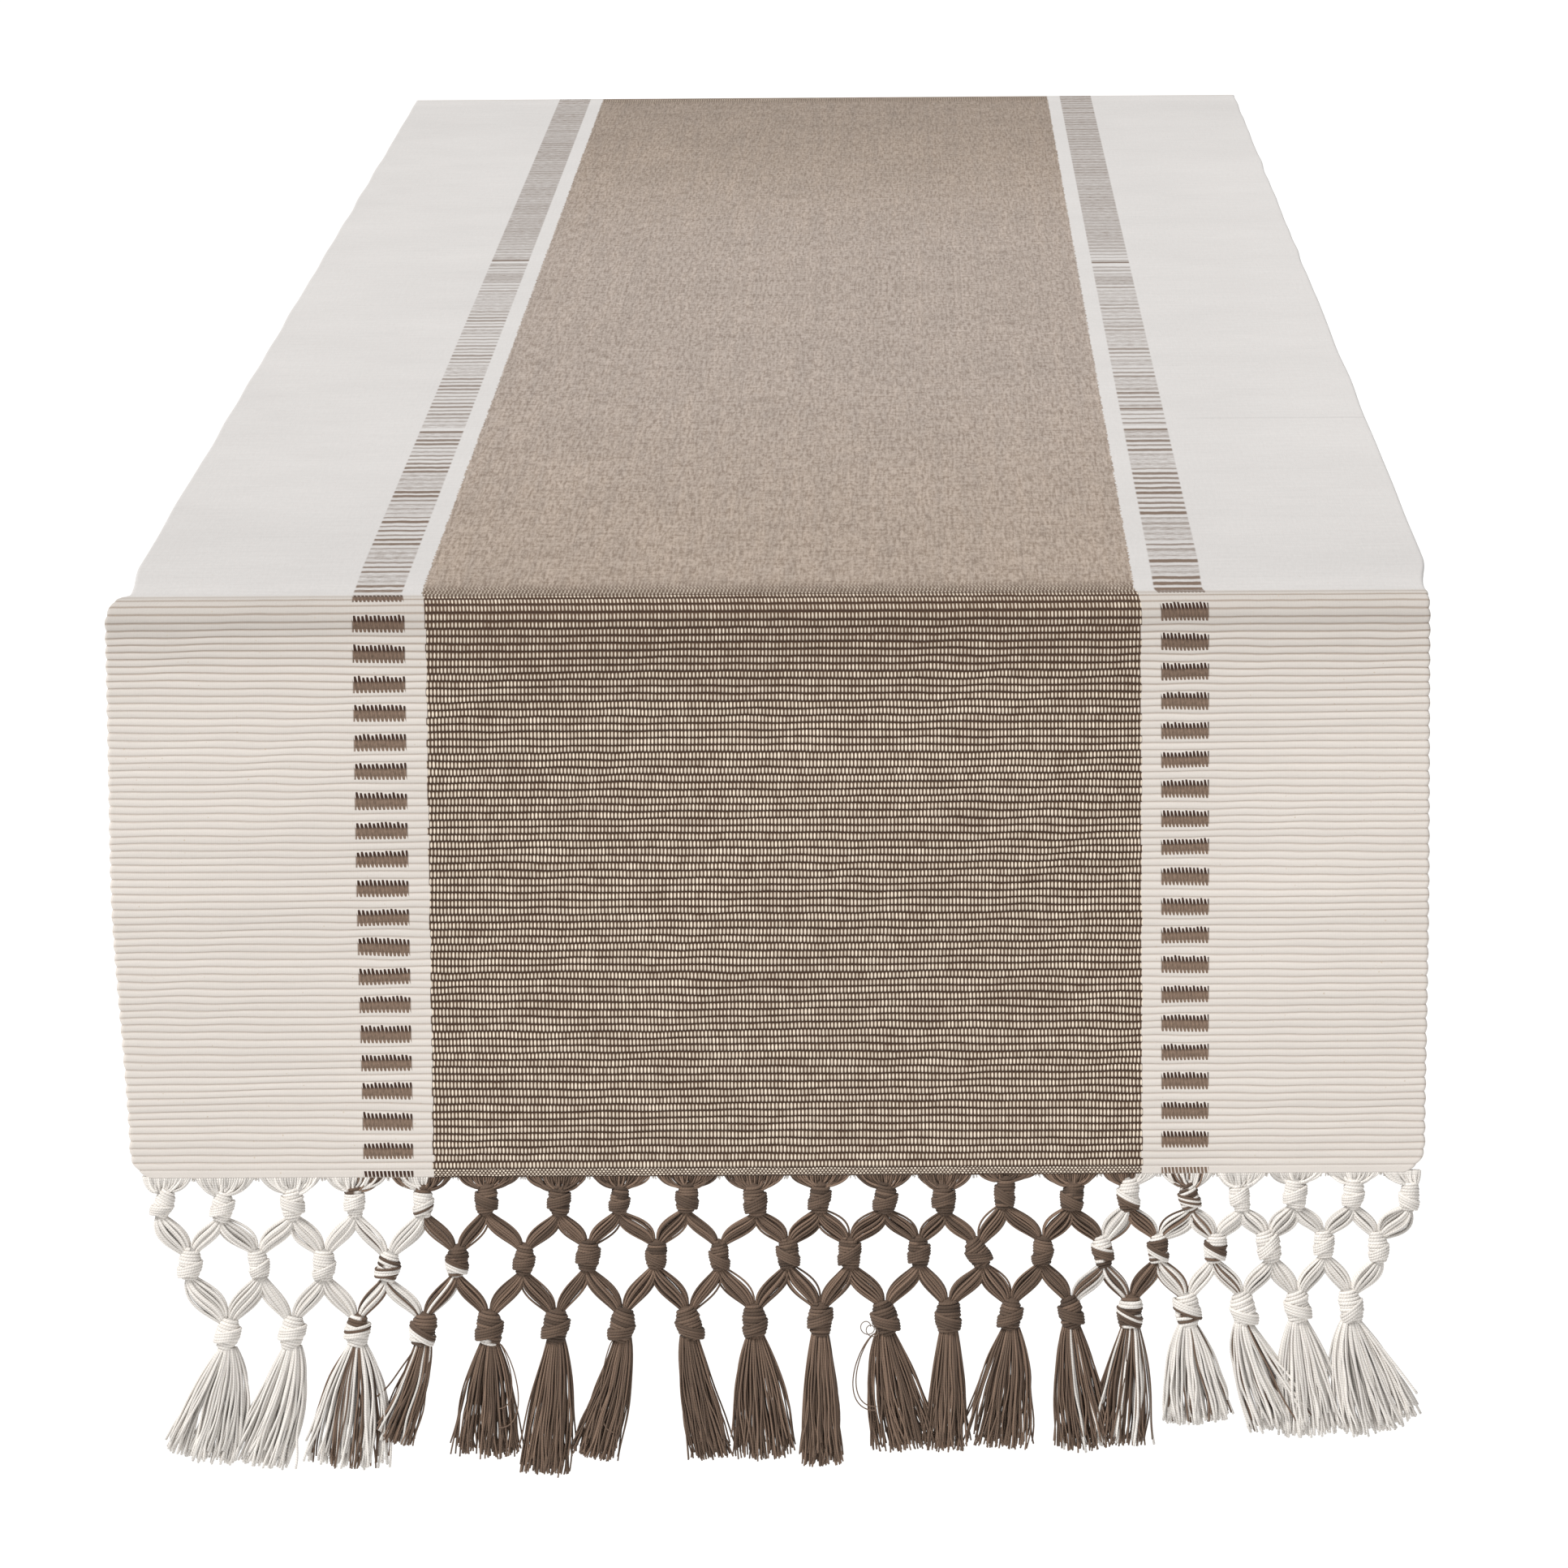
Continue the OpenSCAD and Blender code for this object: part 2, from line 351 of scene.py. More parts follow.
def ecru_colours(g, f):
    """Plain ecru warp, hanging and on the table."""
    # Painted shade: the grooves between the ribs are mixed towards a darker ecru, by a random
    # depth, and deeper below the fold
    groove = f.rib.over(0.55, 0.98) * (1 - f.header)
    deep = groove * (0.4 + f.slub * 0.5 + f.near_fold * 0.6)
    hanging = g.mix(ECRU, ECRU_GROOVE_SHADE, deep.least(1.0))
    row = g.cell(0, f.rows.floor()) - 0.5
    # A faint painted shade between the warp yarns
    warp_line = ((f.x / 0.45).fract() - 0.5).abs() * 2
    shade = 1 - warp_line * 0.03 + (f.slub - 0.5) * 0.09 + row * 0.05
    shade = shade + (f.slow - 0.5) * 0.06
    # Painted shade: darker below the fold, and darker still on the bend
    hanging = g.scaled(hanging, shade * (1 - f.near_fold * 0.1) * (1 - f.fold * 0.14))
    # On the table the ecru takes its painted cool light, with random grain and streaks
    flat = (f.slow - 0.5) * 0.12 + (f.weft - 0.5) * 0.1 + (f.streak - 0.5) * 0.06
    flat = flat + (f.fine - 0.5) * 0.06 + (f.grain - 0.5) * 0.1
    flat = flat - f.far * f.along.over(350, 690) * 0.04 - f.front_of_top * 0.04
    flat = flat - (1 - f.far) * f.along.over(420, 640) * 0.04
    # Painted shade: a thin darker line along a crease, 345 mm from the middle, on the right of
    # the front half's top
    painted_crease_shade = (f.along - 345).abs().under(0.8, 2.2) * f.x.over(108, 122)
    flat = g.scaled(ECRU_TOP_PAINTED_COOL, 1 + flat - painted_crease_shade * 0.07 * (1 - f.far))
    fleck = g.noise(f.x / 0.8, f.along / 0.8, 11, 0).over(0.83, 0.87)
    ecru = g.mix(g.mix(hanging, flat, f.top), linear((186, 166, 140)), fleck * 0.5)
    return ecru, flat


def panel_colour(g, f):
    """Heathered middle panel, hanging and on the table."""
    hanging, flat = panel_hanging(g, f), panel_on_table(g, f)
    return g.mix(hanging, flat, f.top * (0.15 + f.lying * 0.85))


def panel_hanging(g, f):
    """Light weft floats between brown warp yarns."""
    pitch = WARP_PITCH / MM
    patchy = g.noise(f.x / 2.5, f.rows.floor() * 2.7, 6, 1)
    # Smaller light floats below the fold: painted shade
    size = 1.05 + (f.slub - 0.5) * 0.6 + (patchy - 0.5) * 0.9 - f.near_fold * 0.25
    drift = f.x + (g.noise(f.x / 30, f.along / 90, 9, 1) - 0.5) * 1.2
    drift = drift + g.cell(2, f.rows.floor()) * (pitch / 2)
    oval, luck = lattice(g, drift, f.rows, pitch, 0.28, 0.41)
    light = (oval / size).under(0.6, 1.1) * (0.72 + luck * 0.28)
    tight = (f.from_end + (f.slub - 0.5)) / (HEADER_PITCH / MM)
    half = (tight.floor() * 0.5).fract()
    dot, luck = lattice(g, f.x + half * pitch, tight, pitch, 0.34, 0.45)
    light_head = dot.under(0.5, 1.1) * (0.6 + luck * 0.4) * f.from_end.over(0.3, 0.5)
    light = blended(light, light_head, f.header)
    # In the grooves between ribs the warp is painted darker, as shade; in the header the warp is
    # darker too
    warp = g.mix(BROWN_WARP, GROOVE_SHADE_AND_HEADER_WARP, f.rib.over(0.5, 0.9).most(f.header * 0.7))
    shine = 0.99 + (f.slub - 0.5) * 0.3 + (f.streak - 0.5) * 0.3
    # The weft is painted darker below the fold, as shade
    weft = g.scaled(LIGHT_WEFT, shine - f.near_fold * 0.16)
    return g.mix(warp, weft, light)


def panel_on_table(g, f):
    """The panel seen flat: grainy, streaked along the warp and warmer at its ends."""
    warm = f.along.over(150, 690).most(f.far * f.along.over(60, 500)) * 0.9
    warm = (warm + (f.blotch - 0.5) * 0.7 + (f.long_streak - 0.5) * 0.5).most(0.0).least(1.0)
    grain = f.streak * 0.34 + f.weft * 0.12 + f.fine * 0.22 + f.grain * 0.32
    deep = g.mix(TAUPE_DARK, TAUPE_WARM_DARK, warm)
    flat = g.mix(deep, g.mix(TAUPE, TAUPE_WARM, warm), grain.over(0.39, 0.59))
    shade = 1 + (f.slow - 0.5) * 0.14 + (f.long_streak - 0.5) * 0.3 + (f.blotch - 0.5) * 0.08
    shade = shade - f.far * f.along.over(150, 690) * 0.2 - f.front_of_top * 0.14
    return g.scaled(flat, shade - 0.03)


def band_on_table(g, f, ecru):
    """The dashed bands seen flat: thin brown lines, heathered in places, with
    a few bold ones."""
    pitch = 10 - f.left * 1.55
    line = (f.along + (f.blotch - 0.5) * 3) / pitch
    luck = g.cell(f.left, line.floor())
    patch = g.noise(3.3, f.along / 34, f.left * 5 + f.far * 9, 1).over(0.47, 0.6)
    patch = patch.most(f.far * f.along.over(80, 150) * 0.8)
    width = 0.5 + (luck - 0.5) * 0.3
    thin = (line.fract() - 0.5).abs().under(width * 0.3, width * 0.62)
    fade = 0.95 - 0.3 * f.along.under(100, 650) - f.far * 0.2
    brown = thin * fade * (0.75 + luck * 0.3) * (1 - patch * 0.72)
    heather = g.noise(f.x / 2.5, f.along / 1.4, 4, 3, 0.7).over(0.3, 0.7)
    brown = brown + heather * (0.12 + patch * 0.36) + patch * f.far * 0.2
    # The bold pair on each half, a dark line beside a white one
    dark_at = blended(370 - f.left * 4, 70 + f.left * 18, f.far)
    bold = (f.along - dark_at).abs().under(1.6, 2.4)
    bold = bold.most((f.along - 322).abs().under(1.2, 2.4) * (1 - f.left) * (1 - f.far))
    white = (f.along - dark_at + 6).abs().under(2.4, 3.2)
    brown = (brown * (1 - white)).most(bold * 0.95)
    brown_now = g.scaled(DASH_BROWN, 0.94 + (f.fine - 0.5) * 0.3 - f.far * 0.06)
    return g.mix(ecru, brown_now, brown.least(1.0))


def band_colour(g, f, ecru, ecru_flat):
    """The dashed bands: woven dashes where the cloth hangs."""
    dash, offset, comb = dash_mask(g, f)
    upper = offset.over(0.0, 1.4)
    # Below the fold the dashes are painted darker, as shade
    tone = upper * (0.45 + comb * 0.7) + f.near_fold * 0.35
    brown = g.mix(DASH_BROWN, DASH_DARK, tone.least(1.0))
    mottle = g.noise(f.x / 0.35, f.from_end / 1.2, 23, 2, 0.7) - 0.5
    brown = g.scaled(brown, 0.95 + mottle * 1.5 + (1 - comb) * 0.2)
    small = (f.from_end - 1.1).abs().under(0.75, 0.9) * comb.over(0.3, 0.6)
    hanging = g.mix(ecru, brown, blended(dash, small, f.header))
    return g.mix(hanging, band_on_table(g, f, ecru_flat), f.top)


def cloth_material(far):
    """Woven cotton. far is 0 for the front half and 1 for the back half, whose
    weave looks closer and darker towards its end."""
    g = Graph("back_woven_cotton" if far else "front_woven_cotton")
    f = cloth_fields(g, far)
    ecru, ecru_flat = ecru_colours(g, f)
    panel_edge = PANEL_W / MM + (g.cell(f.rows.floor(), 4) - 0.5) * 0.5
    in_panel = (f.across - panel_edge).under(-0.15, 0.15)
    in_band = band_mask(f.across, DASH_IN / MM, DASH_OUT / MM)
    colour = g.mix(ecru, panel_colour(g, f), in_panel)
    colour = g.mix(colour, band_colour(g, f, ecru, ecru_flat), in_band)

    warp = 1 - ((f.x / (WARP_PITCH / MM)).fract() - 0.5).abs() * 2
    hang = (1 - f.rib.over(0.6, 0.98)) * 0.3 + warp * (0.1 + in_panel * 0.25) + f.fine * 0.35
    lie = f.fine * 0.3 + f.streak * 0.3 + f.weft * 0.3
    return g.finish(colour, blended(hang, lie, f.top), 0.12 * MM, 0.88, 0.06)


def yarn_material():
    """Two-ply cotton yarn. tone goes from ecru, 0, to brown, 1."""
    g = Graph("fringe_yarn")
    u, v = g.uv()
    tone = g.attribute("tone")
    shade = g.attribute("shade")
    ply = ((u / (1.3 * MM) + v) * 2).fract()
    valley = (ply - 0.5).abs().over(0.3, 0.5)
    fuzz = g.noise(u / (0.25 * MM), v * 5, shade * 9, 2)
    colour = g.mix(YARN_ECRU, YARN_BROWN, tone)
    # The ply valleys are painted darker, as shade, besides being bumped
    level = shade * (1 - valley * 0.2) * (0.88 + fuzz * 0.24)
    return g.finish(
        g.scaled(colour, level), fuzz * 0.4 - valley * 0.6, 0.05 * MM, 0.85, 0.08
    )


# ---- Meshes ----


def mesh_object(name, co, quads, tris, uv, material, **attributes):
    """An object from arrays: points, faces, one UV for each face corner, and
    numbers for each point."""
    mesh = bpy.data.meshes.new(name)
    mesh.vertices.add(len(co))
    mesh.vertices.foreach_set("co", co.astype(np.float32).ravel())
    corners = np.concatenate([quads.ravel(), tris.ravel()]).astype(np.int32)
    starts = np.concatenate(
        [np.arange(len(quads)) * 4, quads.size + np.arange(len(tris)) * 3]
    )
    mesh.loops.add(len(corners))
    mesh.loops.foreach_set("vertex_index", corners)
    mesh.polygons.add(len(starts))
    mesh.polygons.foreach_set("loop_start", starts.astype(np.int32))
    mesh.polygons.foreach_set("use_smooth", np.ones(len(starts), bool))
    layer = mesh.uv_layers.new(name="UVMap")
    layer.data.foreach_set("uv", uv.astype(np.float32).ravel())
    for key, values in attributes.items():
        made = mesh.attributes.new(key, "FLOAT", "POINT")
        made.data.foreach_set("value", values.astype(np.float32))
    mesh.update(calc_edges=True)
    mesh.materials.append(material)
    made = bpy.data.objects.new(name, mesh)
    bpy.context.scene.collection.objects.link(made)
    return made


class Waves:
    """Smooth random unevenness, from a few sine waves."""

    def __init__(self, rng, lengths, count=5):
        self.k = [2 * math.pi / rng.uniform(*span, count) for span in lengths]
        self.phase = rng.uniform(0, 2 * math.pi, count)
        self.scale = math.sqrt(2 / count)

    def at(self, *where):
        total = 0
        for j in range(len(self.phase)):
            turn = self.phase[j]
            for k, w in zip(self.k, where):
                turn = turn + k[j] * w
            total = total + np.sin(turn)
        return total * self.scale * 0.7


# ---- Cloth ----


def cloth_rows():
    """Distances along the cloth of the mesh's rows, from its middle to its end:
    wide apart on the table, and eight to a rib on the bend and the drop. The
    first two lie close together, so that no seam shows where the halves meet."""
    ribs = int((CLOTH_LEN - HEADER - RIB_START) / RIB)
    steps = np.array([0, 0.07, 0.17, 0.32, 0.5, 0.68, 0.83, 0.93])
    q = (np.arange(ribs, 0, -1)[:, None] - steps).ravel()
    ribbed = CLOTH_LEN - HEADER - q * RIB
    flat = np.linspace(0.05 * MM, ribbed[0], 150)[:-1]
    header = np.linspace(CLOTH_LEN - HEADER, CLOTH_LEN, 12)
    return np.concatenate([[0], flat, ribbed, header])


def cloth_columns():
    """Shares of the half width at the mesh's columns, and how far each stands
    in from the selvedge, in metres."""
    edge = np.array([0, 0.06, 0.2, 0.42, 0.7, 1.1, 1.8, 3.0]) * MM
    inner = np.arange(-HALF_W + 6 * MM, HALF_W - 5.9 * MM, 3 * MM)
    left = -HALF_W + edge
    x = np.concatenate([left, inner, -left[::-1]])
    return x, np.minimum(x + HALF_W, HALF_W - x)


def path(s):
    """The cloth's middle surface: distance out from the table's middle, height,
    and the outward normal, at distances s along it."""
    a = np.clip((s - BEND_Y) / ARC_R, 0, math.pi / 2)
    down = np.maximum(s - BEND_Y - ARC_LEN, 0)
    y = np.minimum(s, BEND_Y) + ARC_R * np.sin(a)
    z = ARC_Z + ARC_R * np.cos(a) - down
    return y, z, np.sin(a), np.cos(a)


def corner_inset(s):
    """How far the rounded lower corners draw the selvedge in."""
    below = np.clip(s - (CLOTH_LEN - CORNER_R), 0, CORNER_R)
    return CORNER_R - np.sqrt(CORNER_R**2 - below**2)


def selvedge_shift(x, s, side, rng):
    """How far the woven cloth strays sideways from its true width. The front
    drop hangs a little wide on the left."""
    drop = smoothstep(s, BEND_Y - 6 * MM, BEND_Y + ARC_LEN)
    near = smoothstep(s, BEND_Y - 60 * MM, BEND_Y - 8 * MM) * (1 - drop)
    low = smoothstep(s, CLOTH_LEN - 80 * MM, CLOTH_LEN)
    rim = smoothstep(np.abs(x), 85 * MM, HALF_W)
    middle = 1.5 * MM * drop * (1 - rim)
    left = drop * (-3.2 + 3.6 * low) * MM + near * 2.2 * MM
    right = drop * (-2.0 - 0.8 * low) * MM - near * 2.6 * MM
    shift = (middle + rim * np.where(x < 0, left, right)) * (side == FRONT)
    for edge in (-1, 1):
        waves = Waves(rng, [(60 * MM, 240 * MM)])
        bumps = waves.at(s) * 0.16 * MM * (1 - drop) * smoothstep(s, 0, 40 * MM)
        q = (CLOTH_LEN - HEADER - s) / RIB
        scallop = (np.abs(np.sin(math.pi * q / 2)) ** 0.7 - 0.6) * 0.5 * MM * drop
        fade = smoothstep(edge * x, HALF_W - 20 * MM, HALF_W)
        shift = shift + edge * fade * (bumps + scallop)
    return shift


def rib_height(s):
    """Rounded ribs with narrow grooves, fading out on the table."""
    q = (CLOTH_LEN - HEADER - s) / RIB
    wave = np.abs(np.sin(math.pi * q)) ** 0.6
    shown = smoothstep(s, RIB_START, BEND_Y - 4 * MM)
    shown = shown * (1 - smoothstep(s, CLOTH_LEN - HEADER, CLOTH_LEN - HEADER + 1 * MM))
    return RIB_HEIGHT * shown * (wave - 0.78)


def cloth_surface(side, face, s, x, inset, rng_seed):
    """Points of one face of the cloth, rows by columns."""
    rng = np.random.default_rng(rng_seed)
    rows, cols = np.meshgrid(s, x, indexing="ij")
    round_edge = np.sqrt(1 - (1 - np.clip(inset / (0.7 * MM), 0, 1)) ** 2)
    to_end = np.clip((CLOTH_LEN - s) / (0.5 * MM), 0, 1)
    round_end = np.sqrt(1 - (1 - to_end) ** 2)
    half = CLOTH_T / 2 * np.outer(round_end, round_edge)
    shift = selvedge_shift(cols, rows, side, rng)
    wander = Waves(rng, [(60 * MM, 200 * MM), (12 * MM, 60 * MM)], 7).at(cols, rows) * 0.22
    wander = wander + Waves(rng, [(14 * MM, 40 * MM), (6 * MM, 24 * MM)], 9).at(cols, rows) * 0.1
    loose = smoothstep(rows, BEND_Y, BEND_Y + 20 * MM)
    loose = loose * (1 - smoothstep(rows, CLOTH_LEN - 10 * MM, CLOTH_LEN))
    y, z, out, up = path(rows + wander * MM * loose)
    lift = half + rib_height(rows) * round_edge * (half > 0)
    sway = Waves(rng, [(90 * MM, 260 * MM), (80 * MM, 200 * MM)], 4)
    lift = face * lift + sway.at(cols, rows) * 0.35 * MM * loose
    rim = smoothstep(np.abs(cols), HALF_W - 26 * MM, HALF_W)
    drawn = cols - np.sign(cols) * rim * corner_inset(rows) + shift
    return np.stack([drawn, side * (y + out * lift), z + up * lift], -1)


def cloth(side, material):
    """One half of the cloth, from the middle of the table to the fringe."""
    s, (x, inset) = cloth_rows(), cloth_columns()
    n, m = len(s), len(x)
    outer = cloth_surface(side, 1, s, x, inset, 11 + side)
    inner = cloth_surface(side, -1, s, x, inset, 11 + side)
    co = np.concatenate([outer.reshape(-1, 3), inner.reshape(-1, 3)])
    index = np.arange(n * m).reshape(n, m)
    under = index + n * m
    under[:, 0], under[:, -1] = index[:, 0], index[:, -1]
    under[-1] = index[-1]
    uv_point = np.stack(np.meshgrid(s, x, indexing="ij")[::-1], -1)
    uv_point = np.tile(uv_point.reshape(-1, 2), (2, 1))

    def sheet_quads(i, flip):
        q = np.stack([i[:-1, :-1], i[:-1, 1:], i[1:, 1:], i[1:, :-1]], -1)
        q = q.reshape(-1, 4)
        return q[:, ::-1] if flip else q

    cap = np.stack([index[0, :-1], index[0, 1:], under[0, 1:], under[0, :-1]], -1)
    faces = [
        sheet_quads(index, side == BACK),
        sheet_quads(under, side == FRONT),
        cap if side == BACK else cap[:, ::-1],
    ]
    quads = np.concatenate(faces)
    three = np.array([len(set(q)) < 4 for q in quads])
    tris = [list(dict.fromkeys(q)) for q in quads[three]]
    tris = np.array([t for t in tris if len(t) == 3], int).reshape(-1, 3)
    quads = quads[~three]
    corners = np.concatenate([quads.ravel(), tris.ravel()])
    used, packed = np.unique(corners, return_inverse=True)
    packed = packed.ravel()
    quads = packed[: quads.size].reshape(-1, 4)
    tris = packed[quads.size :].reshape(-1, 3)
    uv = uv_point[corners]
    return mesh_object(f"{END_NAME[side]}_cloth", co[used], quads, tris, uv, material)


# ---- Yarns ----


class Yarns:
    """A bundle of yarns, gathered into one mesh."""

    def __init__(self, side):
        self.side = side
        self.parts, self.count = [], 0

    def add(self, paths, radius, tone, shade, axis=(0, 1, 0), sides=5):
        """Tubes along paths, an array of yarns by points by x, y, z, where y
        points away from the table and z is from the frame. axis is a direction
        that the paths never follow for long."""
        paths = np.asarray(paths, float)
        m, n, _ = paths.shape
        radius = np.broadcast_to(radius, (m, n))
        tone = np.broadcast_to(tone, (m, n))
        shade = np.broadcast_to(shade, (m, n))
        ahead = np.gradient(paths, axis=1)
        ahead = ahead / np.maximum(np.linalg.norm(ahead, axis=-1, keepdims=True), 1e-9)
        across = np.cross(ahead, np.broadcast_to(axis, paths.shape))
        across = across / np.maximum(
            np.linalg.norm(across, axis=-1, keepdims=True), 1e-9
        )
        out = np.cross(across, ahead)
        turn = np.arange(sides) * 2 * math.pi / sides
        ring = across[:, :, None] * np.cos(turn)[:, None]
        ring = ring + out[:, :, None] * np.sin(turn)[:, None]
        co = paths[:, :, None] + ring * radius[:, :, None, None]
        tips = paths[:, [0, -1]] + ahead[:, [0, -1]] * (
            radius[:, [0, -1], None] * np.array([-0.6, 0.6])[:, None]
        )
        length = np.linalg.norm(np.diff(paths, axis=1), axis=-1).cumsum(1)
        length = np.concatenate([np.zeros((m, 1)), length], 1)

        ring_at = np.arange(m * n * sides).reshape(m, n, sides)
        tip_at = m * n * sides + np.arange(m * 2).reshape(m, 2)
        nxt = np.roll(ring_at, -1, 2)
        quads = np.stack([ring_at[:, :-1], ring_at[:, 1:], nxt[:, 1:], nxt[:, :-1]], -1)
        u = np.broadcast_to(length[:, :, None], ring_at.shape)
        v = np.broadcast_to(np.arange(sides) / sides, ring_at.shape)
        v2 = v + 1 / sides
        uv_u = np.stack([u[:, :-1], u[:, 1:], u[:, 1:], u[:, :-1]], -1)
        uv_v = np.stack([v[:, :-1], v[:, 1:], v2[:, 1:], v2[:, :-1]], -1)
        first = np.stack(
            [np.broadcast_to(tip_at[:, :1], (m, sides)), ring_at[:, 0], nxt[:, 0]], -1
        )
        last = np.stack(
            [np.broadcast_to(tip_at[:, 1:], (m, sides)), nxt[:, -1], ring_at[:, -1]], -1
        )
        tris = np.concatenate([first.reshape(-1, 3), last.reshape(-1, 3)])
        tri_uv = np.zeros((len(tris), 3, 2))
        self.parts.append(
            (
                np.concatenate([co.reshape(-1, 3), tips.reshape(-1, 3)]),
                quads.reshape(-1, 4) + self.count,
                tris + self.count,
                np.stack([uv_u, uv_v], -1).reshape(-1, 2),
                tri_uv.reshape(-1, 2),
                np.concatenate(
                    [np.repeat(tone.ravel(), sides), tone[:, [0, -1]].ravel()]
                ),
                np.concatenate(
                    [np.repeat(shade.ravel(), sides), shade[:, [0, -1]].ravel()]
                ),
            )
        )
        self.count += m * n * sides + m * 2

    def build(self, name, material):
        co, quads, tris, uv_q, uv_t, tone, shade = (
            np.concatenate(column) for column in zip(*self.parts)
        )
        co = co * [1, self.side, 1] + [0, self.side * MID_Y, 0]
        if self.side == BACK:
            quads, tris = quads[:, ::-1], tris[:, ::-1]
            uv_q = uv_q.reshape(-1, 4, 2)[:, ::-1].reshape(-1, 2)
            uv_t = uv_t.reshape(-1, 3, 2)[:, ::-1].reshape(-1, 2)
        uv = np.concatenate([uv_q, uv_t])
        return mesh_object(
            name, co, quads, tris, uv, material, tone=tone, shade=shade
        )


def bezier(a, b, c, d, n):
    """Points of curves, for arrays of four corner points each."""
    t = np.linspace(0, 1, n)[:, None]
    a, b, c, d = (np.asarray(p, float)[:, None] for p in (a, b, c, d))
    return (
        a * (1 - t) ** 3 + 3 * b * t * (1 - t) ** 2 + 3 * c * t**2 * (1 - t) + d * t**3
    )


def yarn_shades(rng, tones, spread):
    """Lighter and darker yarns, less so where the yarn is ecru."""
    level = rng.uniform(1 - spread, 1 + spread * 0.5, (len(tones), 1))
    return np.where(tones > 0.5, level, 1 + (level - 1) * 0.45)


def warp_tone(x):
    """Share of brown warp at a place across the cloth."""
    a = np.abs(x)
    return np.where(a < PANEL_W, 1.0, np.where((a > DASH_IN) & (a < DASH_OUT), 0.4, 0.0))


def pick_tones(rng, share, count):
    """Ecru and brown yarns in that share, in runs as they lay in the cloth."""
    share = float(share)
    if share <= 0.02 or share >= 0.98:
        return np.full(count, round(share))[:, None] * 1.0
    order = np.sin(np.arange(count) * 1.1 + rng.uniform(0, 6)) + rng.normal(
        0, 0.35, count
    )
    cut = np.quantile(order, share)
    return (order < cut).astype(float)[:, None]


def row_share(i, count):
    return (i + (UPPER_COUNT - count) / 2) / (UPPER_COUNT - 1)


def knot_at(i, count, depth):
    """Place of a knot across and up, as in the CAD model."""
    share = row_share(i, count)
    x = (share - 0.5) * KNOT_SPAN
    x = x + KNOT_DRIFT * math.sin(math.pi * max(share, 0) ** 1.5)
    return x, END_Z + ROW_RISE * depth / TASSEL_ROW * share - depth


def barrel(t):
    """Outline of a knot: 1 in its middle, narrower at its ends, t from 0 to 1."""
    return 1 - 0.4 * np.abs(2 * t - 1) ** 2.8


def wrap_tones(pattern, t):
    """Tone of a wrapped yarn by its place down the knot."""
    tones = np.array([1.0 if c == "b" else 0.0 for c in pattern])
    return tones[np.minimum((t * len(tones)).astype(int), len(tones) - 1)]


def turned(points, x, z, lean):
    """Points about a knot's centre, leant in the net's plane and put in place."""
    c, s = math.cos(lean), math.sin(lean)
    px = points[..., 0] * c + points[..., 2] * s
    pz = points[..., 2] * c - points[..., 0] * s
    return np.stack([px + x, points[..., 1], pz + z], -1)


def add_knot(yarns, rng, x, z, w, h, pattern, lean):
    """A knot: a core, yarn wrapped round it, and a slanted outer wrap."""
    tilt = rng.choice([-1, 1]) * rng.uniform(0.05, 0.22)
    turns, steps = 10, 18
    r = h / turns * 0.6
    n = turns * steps
    t = np.linspace(0.02, 0.98, n)
    a = t * turns * 2 * math.pi + rng.uniform(0, 6)
    push = np.repeat(rng.normal(0, 0.1 * MM, turns + 1), steps)[:n]
    push = np.convolve(np.pad(push, 6, mode="edge"), np.ones(13) / 13, "valid")
    rad = w / 2 * barrel(t) - r + push
    down = h / 2 - t * h - tilt * rad * np.cos(a)
    coil = np.stack([rad * np.cos(a), 0.86 * rad * np.sin(a), down], -1)[None]
    tone = wrap_tones(pattern, t)[None]
    uneven = np.repeat(rng.uniform(-0.28, 0.26, turns + 1), steps)[:n][None]
    # Brown wraps are painted darker than the same yarn in the strands, as the shade in the tight
    # knot
    shade = blended(0.98, 0.62, tone) + uneven * blended(0.35, 1.0, tone)
    yarns.add(turned(coil, x, z, lean), r, tone, shade, (0, 0, 1), 6)

    # A band of yarns laid over the rest at a steeper slant
    low = rng.uniform(0.3, 0.62)
    strands = 4
    steep = -tilt / abs(tilt) * rng.uniform(0.25, 0.55)
    m = 26
    a = np.linspace(0, 2 * math.pi, m)
    rows = low + np.arange(strands) * 0.085
    rad = (w / 2 * barrel(rows)[:, None] - 0.05 * MM) * np.ones(m)
    down = h / 2 - rows[:, None] * h - steep * rad * np.cos(a)
    band = np.stack([rad * np.cos(a), 0.9 * rad * np.sin(a), down], -1)
    keep = wrap_tones(pattern, rows)[:, None]
    # The outer band's brown is painted darker in the same way, as shade
    level = yarn_shades(rng, keep, 0.25) * blended(0.98, 0.66, keep)
    yarns.add(turned(band, x, z, lean), r * 0.8, keep, level, (0, 0, 1), 6)

    # The core closes the gaps between the wraps, and is painted dark, as the shade between them
    t = np.linspace(0, 1, 12)
    spine = np.stack([t * 0, t * 0, h / 2 - t * h], -1)[None]
    core_tone = wrap_tones(pattern, t * 0.999)[None]
    rad = np.maximum(w / 2 * barrel(t) - r * 1.2, 0.2 * MM)[None]
    yarns.add(turned(spine, x, z, lean), rad, core_tone, 0.6, (0, 1, 0), 14)


